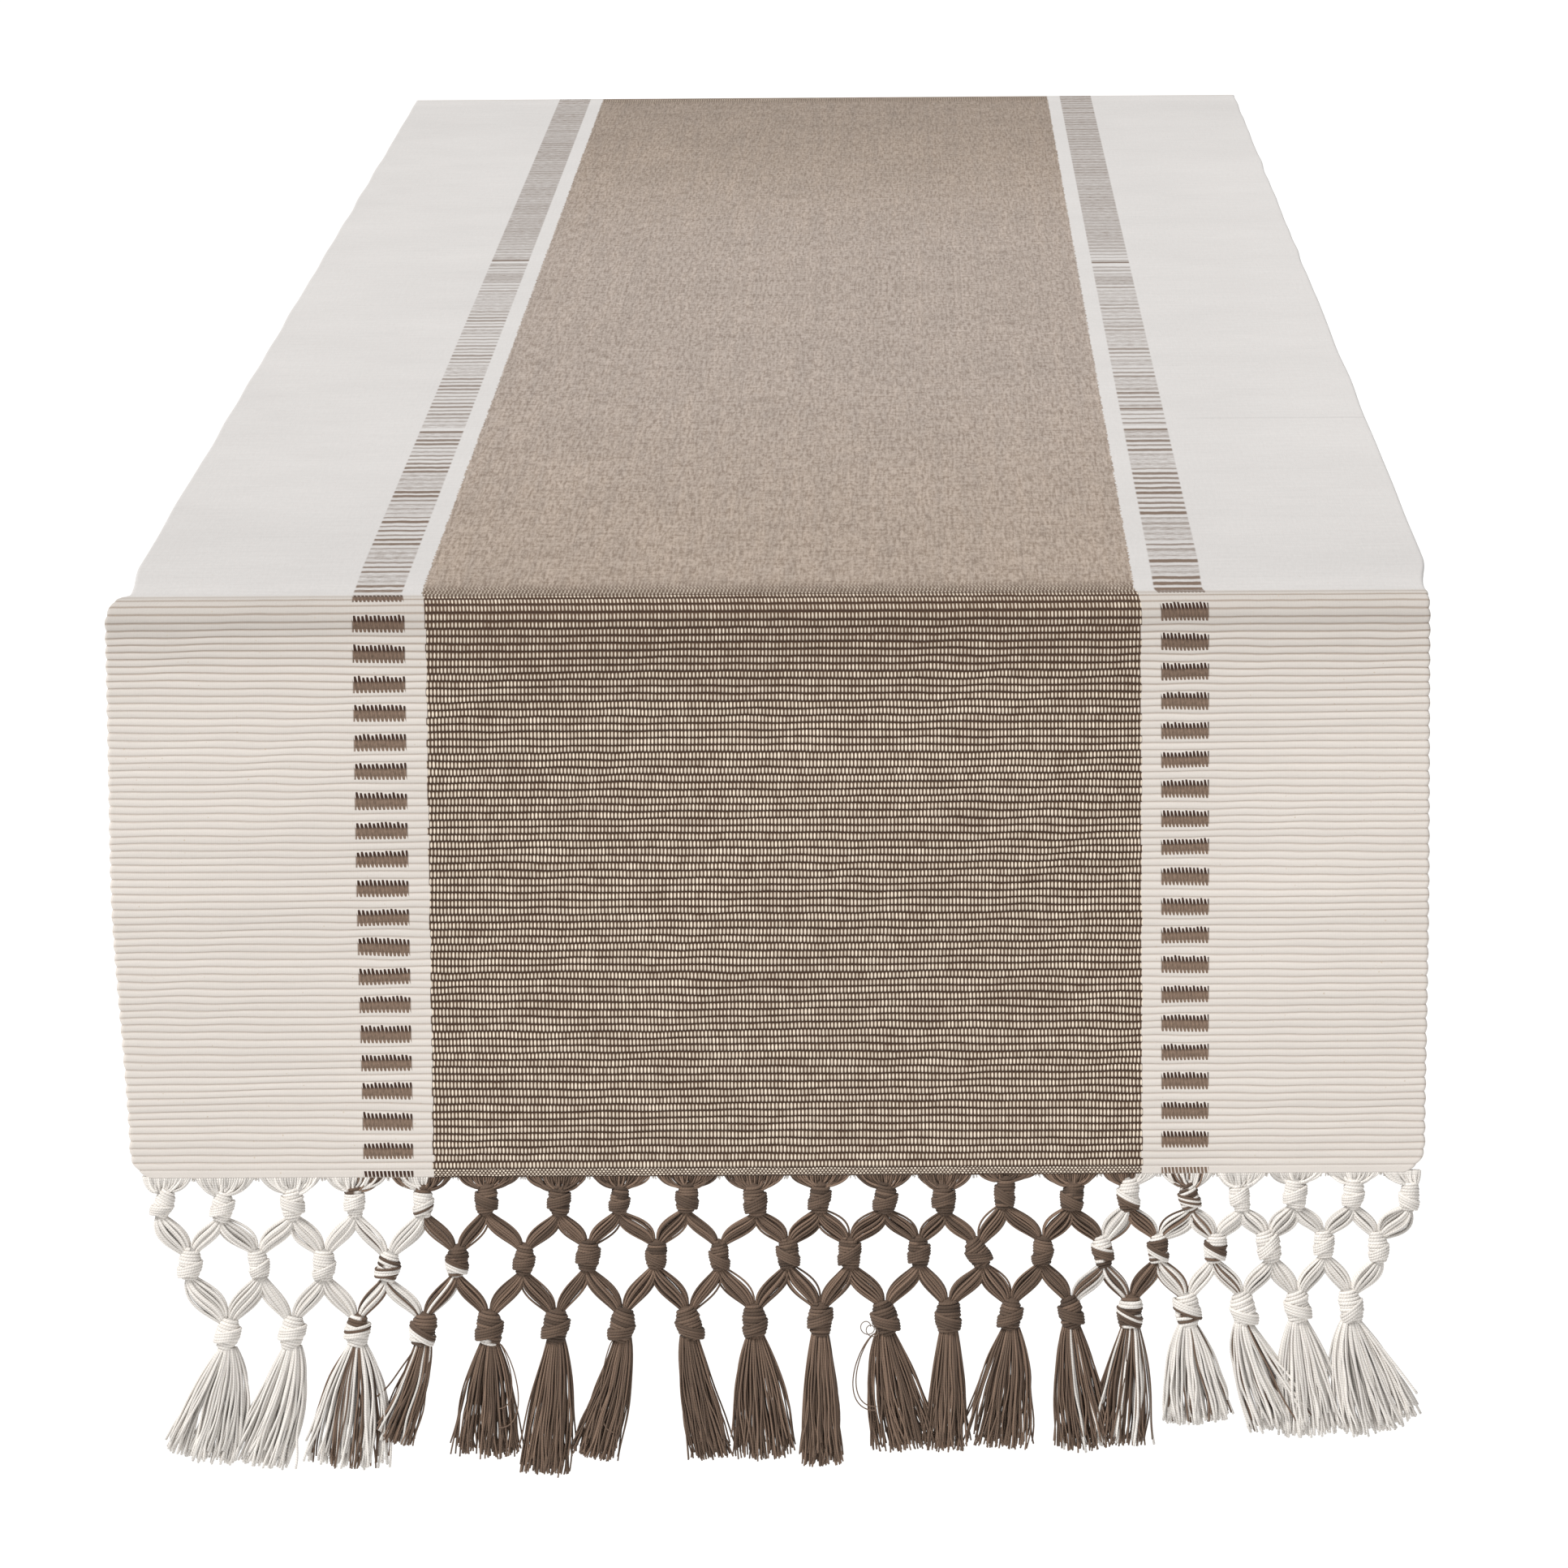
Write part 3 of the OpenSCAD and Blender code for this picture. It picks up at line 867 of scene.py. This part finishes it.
def strand_paths(rng, a, b, w, count, n=13, limp=0.35):
    """Yarns from one knot to another: a leaf-shaped bundle, pinched at its ends."""
    a, b = np.array([a[0], 0, a[1]]), np.array([b[0], 0, b[1]])
    line = b - a
    length = np.linalg.norm(line)
    down = np.array([0, 0, -length * limp])
    base = bezier([a], [a + line * 0.12 + down * 0.6], [b - line * 0.12 - down * 0.6], [b], n)
    t = np.linspace(0, 1, n)
    side = np.array([-line[2], 0, line[0]]) / length
    out = np.array([0, 1, 0])
    ring = np.sqrt((np.arange(count) + 0.5) / count)
    turn = np.arange(count) * 2.4 + rng.uniform(0, 6)
    da, db = ring * np.cos(turn), ring * np.sin(turn)
    swell = 0.26 + 0.74 * np.sin(math.pi * t) ** 0.8
    spin = rng.uniform(-0.5, 0.5) * (t - 0.5)
    slack = rng.normal(0, 0.12, (count, 1)) * np.sin(math.pi * t)
    pa = (da[:, None] * np.cos(spin) - db[:, None] * np.sin(spin)) * swell + slack
    pb = (da[:, None] * np.sin(spin) + db[:, None] * np.cos(spin)) * swell
    half = w / 2 - 0.2 * MM
    return base + (pa * half)[..., None] * side + (pb * half * 0.6)[..., None] * out


# Wraps from the top of a knot to its foot, where a knot isn't all one colour:
# b is brown and e is ecru. Knots are counted from the left.
UPPER_WRAPS = {3: "bebeeeeeeeee", 4: "bbbeeeeeebee", 15: "eeeeeeeebbbb", 16: "bebebbebebeb"}
MIDDLE_WRAPS = {
    3: "eeebeebeebee",
    4: "bbbbbbbbeebe",
    14: "eeeeebbbbebb",
    15: "eebbbbbbeebe",
    16: "eeeeebbeeebe",
}
TASSEL_WRAPS = {
    2: "bebbebeeeeee",
    3: "bbbbbbbbeebe",
    4: "bbbbbbbbbbee",
    14: "bbeebbbebbeb",
    15: "eeeeeebeebee",
    16: "eeeeeeeeeeee",
}
# Share of brown yarn in the strands that leave a knot, by the knot and by its
# left, 0, or right, 1, where they aren't all one colour
UPPER_SHARES = {
    (3, 0): 0.0, (3, 1): 0.2, (4, 0): 0.05, (4, 1): 0.95, (5, 0): 1.0,
    (15, 0): 0.05, (15, 1): 0.95, (16, 0): 0.4, (16, 1): 0.35,
}
MIDDLE_SHARES = {
    (3, 0): 0.2, (3, 1): 0.2, (4, 0): 0.85, (4, 1): 1.0, (14, 0): 0.5, (14, 1): 0.7,
    (15, 0): 0.9, (15, 1): 0.35, (16, 0): 0.0, (16, 1): 0.35,
}


def row_facts(row):
    """Count, wraps, first and last brown knot, and strand shares of a row."""
    if row == "upper":
        return UPPER_COUNT, UPPER_WRAPS, (5, 14), UPPER_SHARES
    return UPPER_COUNT - 1, MIDDLE_WRAPS, (5, 13), MIDDLE_SHARES


def knot_places(side, rng_seed):
    """Centres and leans of all knots at one end, with a little unevenness."""
    rng = np.random.default_rng(rng_seed)
    places = {}
    for row, count, depth in (
        ("upper", UPPER_COUNT, UPPER_ROW),
        ("middle", UPPER_COUNT - 1, MIDDLE_ROW),
    ):
        places[row] = []
        for i in range(count):
            x, z = knot_at(i, count, depth)
            x += rng.normal(0, 0.7 * MM)
            z += rng.normal(0, 0.5 * MM)
            places[row].append((x, z, rng.normal(0, 0.16)))
    places["tassel"] = []
    for i in range(UPPER_COUNT - 2):
        lo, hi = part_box(f"{END_NAME[side]}_tassel_{i + 1:02d}")
        places["tassel"].append(((lo.x + hi.x) / 2, hi.z - TASSEL_KNOT_H / 2, 0.0))
    return places


def knot_row(side, row, places, rng, material):
    _, wraps, (first, last), _ = row_facts(row)
    yarns = Yarns(side)
    for i, (x, z, lean) in enumerate(places[row]):
        plain = "b" if first <= i <= last else "e"
        pattern = wraps.get(i, plain * WRAPS)
        w = KNOT_W * rng.uniform(0.86, 1.04)
        h = KNOT_H * rng.uniform(0.96, 1.12)
        add_knot(yarns, rng, x, z, w, h, pattern, lean)
    return yarns.build(f"{END_NAME[side]}_{row}_knot_wraps", material)


def strand_row(side, row, places, rng, material):
    count, _, (first, last), shares = row_facts(row)
    below = "middle" if row == "upper" else "tassel"
    foot = KNOT_H / 2 if row == "upper" else TASSEL_KNOT_H / 2
    yarns = Yarns(side)
    for i in range(count - 1):
        bx, bz, _ = places[below][i]
        for half in (0, 1):
            k = i + half
            ax, az, lean = places[row][k]
            edge = k in (0, count - 1)
            going = 0 if half else 1
            share = shares.get((k, going), 1.0 if first <= k <= last else 0.0)
            many = EDGE_STRAND_YARNS if edge else STRAND_YARNS
            w = (EDGE_STRAND_W if edge else STRAND_W) * rng.uniform(0.8, 1.12)
            start = (ax - math.sin(lean) * KNOT_H * 0.42, az - KNOT_H * 0.42)
            end = (bx + (0.9 if half else -0.9) * MM, bz + foot - 0.9 * MM)
            paths = strand_paths(rng, start, end, w, many)
            tones = pick_tones(rng, share, many)
            radius = blended(0.36, 0.28, tones) * MM
            yarns.add(paths, radius, tones, yarn_shades(rng, tones, 0.45), sides=5)
    kind = "upper" if row == "upper" else "lower"
    return yarns.build(f"{END_NAME[side]}_{kind}_strand_yarns", material)


def fan_edge(places, i):
    """Where the fan of knot i begins, half way from the knot before it."""
    if i == 0:
        return -HALF_W + CORNER_R * 0.4
    if i == UPPER_COUNT:
        return HALF_W - CORNER_R * 0.5
    return (places["upper"][i - 1][0] + places["upper"][i][0]) / 2


def warp_fans(side, places, rng, material):
    """Warp yarns gathered from the cloth's end into each upper knot: straight
    ones in the middle, and shallow bowls drawn in from both sides."""
    yarns = Yarns(side)
    for i in range(UPPER_COUNT):
        x, z, _ = places["upper"][i]
        lo, hi = fan_edge(places, i), fan_edge(places, i + 1)
        count = FAN_YARNS
        order = np.arange(count)
        t = (order + 0.5) / count
        x0 = lo + (hi - lo) * (0.04 + 0.92 * t)
        y0 = np.where(order % 2, 0.4, -0.4) * MM
        z0 = np.full(count, CLOTH_END + 0.6 * MM)
        z1 = z + KNOT_H / 2 - 0.7 * MM + rng.uniform(-0.3, 0.3, count) * MM
        x1 = x + (t - 0.5) * KNOT_W * 0.7 + rng.normal(0, 0.25 * MM, count)
        y1 = rng.uniform(-1.2, 1.2, count) * MM
        drop = np.maximum(z0 - z1, 1 * MM)
        a = np.stack([x0, y0, z0], -1)
        b = np.stack([x0 * 0.92 + x1 * 0.08, y0, z0 - drop * rng.uniform(0.3, 0.6, count)], -1)
        c = np.stack([x0 * 0.5 + x1 * 0.5, y1, z1 + drop * rng.uniform(0.0, 0.3, count)], -1)
        d = np.stack([x1, y1, z1], -1)
        tones = (rng.random(count) < warp_tone(x0)).astype(float)[:, None]
        level = yarn_shades(rng, tones, 0.55)
        radius = blended(0.38, 0.28, tones) * MM
        yarns.add(bezier(a, b, c, d, 9), radius, tones, level, sides=5)
        if i > 0:
            add_peak(yarns, rng, lo)
    return yarns.build(f"{END_NAME[side]}_fan_yarns", material)


def add_peak(yarns, rng, x):
    """Pale weft ends that show in the notch between two fans."""
    count = 5
    x0 = x + rng.normal(0, 0.35 * MM, count)
    top = np.full(count, CLOTH_END + 0.8 * MM)
    start = np.stack([x0, rng.normal(0, 0.2 * MM, count), top], -1)
    fall = rng.uniform(0.9, 1.7, count) * MM
    end = start + np.stack([rng.normal(0, 0.35 * MM, count), np.zeros(count), -fall], -1)
    middle = (start + end) / 2
    yarns.add(bezier(start, middle, middle, end, 4), 0.16 * MM, 0.0, 1.0, sides=4)


# Each front tassel: how far its tips hang to the right of its knot, how wide
# they spread, how far below its CAD tips they reach, all in mm, and the share
# of brown yarn
TASSELS = [
    (-6.5, 20, 0, 0), (-8.5, 15, 2, 0), (-3, 21, 2, 0.4), (-8, 9, -3, 0.9),
    (-1.5, 18, 0, 1), (-3.5, 13, 5, 1), (-7.5, 11, 2, 1), (5.5, 10, 2, 1),
    (2, 17, 2, 1), (0, 11, 4, 1), (5, 16, 1, 1), (-1, 10, 1, 1),
    (-3.5, 16, 1, 1), (3.5, 14, 2, 0.9), (-2.5, 15, 1, 0.75), (2.5, 18, -4, 0.15),
    (9, 17, -1, 0.25), (3.5, 17, 0, 0), (7, 22, 0, 0),
]
# Loose loops by tassel: which way each bulges, how wide and how long, in mm,
# and the tassel with a curled thread
LOOPS = {4: [(1, 5, 22), (1, 3.4, 17)], 6: [(-1, 3.5, 24)], 10: [(-1, 6, 20), (-1, 5.2, 19)]}
CURL_AT = 10


def tassel_facts(side, rng, i):
    """The front tassels' table, or freely drawn numbers at the back."""
    if side == FRONT:
        lean, wide, reach, share = TASSELS[i]
    else:
        lean = rng.normal(0, 4)
        wide = rng.uniform(11, 18)
        reach = rng.uniform(-2, 3)
        share = TASSELS[i][3]
    return lean * MM, wide * MM, reach * MM, share


def tassel_paths(rng, x, neck_z, tip_z, lean, wide, count, n=16):
    """Cut yarns that hang from a knot and spread towards their tips."""
    ring = np.sqrt((np.arange(count) + 0.5) / count)
    turn = np.arange(count) * 2.39996
    a = ring * np.cos(turn)
    b = ring * np.sin(turn)
    t = np.linspace(0, 1, n)
    length = (neck_z - tip_z) * (1 - np.abs(rng.normal(0, 0.08, count)) + 0.03)
    neck = 2.2 * MM
    clump = np.sin(a * 9 + rng.uniform(0, 6)) * 0.07
    open_out = 0.72 * (1 - (1 - t) ** 2.6) + 0.28 * t
    spread = (a + clump)[:, None] * (neck + (wide / 2 - neck) * open_out)
    sideways = spread + lean * t**1.3
    deep = b[:, None] * (1.6 * MM + 1.0 * MM * np.sin(math.pi * t * 0.6))
    crimp = 0
    for _ in range(2):
        k = rng.uniform(5, 13, (count, 1))
        crimp = crimp + np.sin(k * t + rng.uniform(0, 6, (count, 1)))
    stray = rng.normal(0, 1.0 * MM, (count, 1)) * t**3
    sideways = sideways + crimp * 0.19 * MM * (0.2 + t) + stray
    run = np.abs(sideways[:, -1] - sideways[:, 0])
    fall = np.sqrt(np.maximum(length**2 - run**2, (0.6 * length) ** 2))
    z = neck_z - fall[:, None] * t
    return np.stack([x + sideways, deep, z], -1)


def add_loose_yarns(yarns, i, x, neck_z, brown):
    """Long stray loops beside a few tassels, and one curled thread."""
    steps = np.linspace(0, 1, 26)
    for side, wide, long in LOOPS.get(i, ()):
        out = x + side * (2.2 * MM + wide * MM * np.sin(math.pi * steps) ** 0.8)
        down = neck_z - long * MM * np.sin(math.pi * steps / 2) ** 1.2
        path = np.stack([out, 1.5 * MM + steps * MM, down], -1)[None]
        yarns.add(path, 0.17 * MM, brown, 0.85, sides=5)
    if i == CURL_AT:
        turn = np.linspace(0, 1, 60)
        curl = (1.6 - 0.5 * turn) * MM
        px = x - 5.2 * MM + curl * np.cos(turn * 14) + 2.6 * MM * turn
        pz = neck_z + 1.5 * MM + curl * np.sin(turn * 14) - 1.5 * MM * turn
        yarns.add(np.stack([px, 1.2 * MM + turn * MM, pz], -1)[None], 0.13 * MM, 0.9, 0.8)


def tassel(side, i, places, rng, material):
    x, z, _ = places["tassel"][i]
    lean, wide, reach, share = tassel_facts(side, rng, i)
    lo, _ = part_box(f"{END_NAME[side]}_tassel_{i + 1:02d}")
    yarns = Yarns(side)
    plain = "b" if 4 <= i <= 14 else "e"
    pattern = TASSEL_WRAPS.get(i, plain * WRAPS)
    tilt = float(np.clip(-lean / (25 * MM), -0.22, 0.22))
    w = TASSEL_KNOT_W * rng.uniform(0.9, 1.05)
    add_knot(yarns, rng, x, z, w, TASSEL_KNOT_H, pattern, tilt)
    neck_z = z - TASSEL_KNOT_H * 0.4
    paths = tassel_paths(rng, x, neck_z, lo.z - reach, lean, wide, TASSEL_YARNS)
    tones = tassel_tones(rng, paths, share)
    radius = blended(0.34, 0.23, tones) * MM
    yarns.add(paths, radius, tones, yarn_shades(rng, tones, 0.4), sides=5)
    if side == FRONT:
        add_loose_yarns(yarns, i, x, neck_z, round(share))
    return yarns.build(f"{END_NAME[side]}_tassel_{i + 1:02d}_yarns", material)


def tassel_tones(rng, paths, share):
    """Brown yarns lie in a few runs across a mixed tassel."""
    if share in (0, 1):
        return np.full((len(paths), 1), float(share))
    tip = paths[:, -1, 0] / MM
    order = np.sin(tip * 1.25 + rng.uniform(0, 6)) + rng.normal(0, 0.3, len(tip))
    return (order < np.quantile(order, share)).astype(float)[:, None]


# ---- Assembly ----


def attach(piece, body, slot, *nodes):
    if body is not None:
        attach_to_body(piece, body)
    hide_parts(*nodes)
    return piece


def tassel_slot(i):
    if i in (0, 1, 17, 18):
        return "ecru_yarn"
    return "mixed_yarn" if i in (2, 3, 14, 15, 16) else "brown_yarn"


def fringe(side, yarn):
    """The net and the tassels of one end."""
    end = END_NAME[side]
    rng = np.random.default_rng(40 + side)
    places = knot_places(side, 70 + side)
    fans = attach(warp_fans(side, places, rng, yarn), None, "fringe_yarn", f"{end}_warp_fans")
    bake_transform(fans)
    pieces = [fans]
    net = f"{end}_net"
    for row in ("upper", "middle"):
        knots = knot_row(side, row, places, rng, yarn)
        pieces.append(attach(knots, net, "fringe_yarn", f"{end}_{row}_knots"))
    for row, kind in (("upper", "upper"), ("middle", "lower")):
        strands = strand_row(side, row, places, rng, yarn)
        pieces.append(attach(strands, net, "fringe_yarn", f"{end}_{kind}_strands"))
    for i in range(UPPER_COUNT - 2):
        made = tassel(side, i, places, rng, yarn)
        name = f"{end}_tassel_{i + 1:02d}"
        pieces.append(attach(made, name, tassel_slot(i), name))
    return pieces


def half_runner(side, woven, yarn):
    end = END_NAME[side]
    made = cloth(side, woven)
    nodes = [f"{end}_fold", f"{end}_drop"]
    if side == FRONT:
        nodes.append("woven_top")
    attach(made, None, "woven_cloth", *nodes)
    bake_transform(made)
    pieces = fringe(side, yarn)


# ---- Camera, light and floor ----

CAMERA_PLACE = (0.0334, -2.8908, 0.3245)
CAMERA_PAN, CAMERA_TILT, CAMERA_ROLL = 0.836, 80.431, -0.465
SUNLIGHT = (0.45, 0.42, -0.79)
FLOOR_Z, FLOOR_HALF = -0.75, 60


def add_camera():
    data = bpy.data.cameras.new("camera")
    data.lens, data.sensor_width = 204.0, 36.0
    data.clip_end = 200
    made = bpy.data.objects.new("camera", data)
    bpy.context.scene.collection.objects.link(made)
    turn = (
        Matrix.Rotation(math.radians(CAMERA_PAN), 4, "Z")
        @ Matrix.Rotation(math.radians(CAMERA_TILT), 4, "X")
        @ Matrix.Rotation(math.radians(CAMERA_ROLL), 4, "Z")
    )
    made.matrix_world = Matrix.Translation(CAMERA_PLACE) @ turn
    bpy.context.scene.camera = made


def add_sun():
    """Soft light from above, in front and to the left."""
    data = bpy.data.lights.new("sun", "SUN")
    data.energy, data.angle, data.color = 3.0, math.radians(24), (1, 0.99, 0.975)
    made = bpy.data.objects.new("sun", data)
    bpy.context.scene.collection.objects.link(made)
    made.rotation_mode = "QUATERNION"
    made.rotation_quaternion = Vector(SUNLIGHT).to_track_quat("-Z", "Y")


def add_light():
    world = bpy.data.worlds.new("world")
    world.use_nodes = True
    back = world.node_tree.nodes["Background"]
    back.inputs["Color"].default_value = (1, 1, 1, 1)
    back.inputs["Strength"].default_value = 0.42
    bpy.context.scene.world = world
    add_sun()


def add_floor():
    graph = Graph("floor")
    x, y = graph.uv()
    grain = graph.noise(x * 3, y * 3, 0, 3)
    colour = graph.scaled(linear((250, 250, 250)), 0.985 + grain * 0.03)
    material = graph.finish(colour, grain, 0.1 * MM, 0.9, 0.0)
    half, z = FLOOR_HALF, FLOOR_Z
    co = np.array([(-half, -half, z), (half, -half, z), (half, half, z), (-half, half, z)])
    made = mesh_object(
        "floor", co, np.array([[0, 1, 2, 3]]), np.zeros((0, 3), int), co[:, :2], material
    )


def main():
    add_camera()
    yarn = yarn_material()
    for side in (FRONT, BACK):
        half_runner(side, cloth_material(1 if side == BACK else 0), yarn)
    add_light()
    add_floor()
    bpy.context.scene.view_settings.view_transform = "Standard"


main()
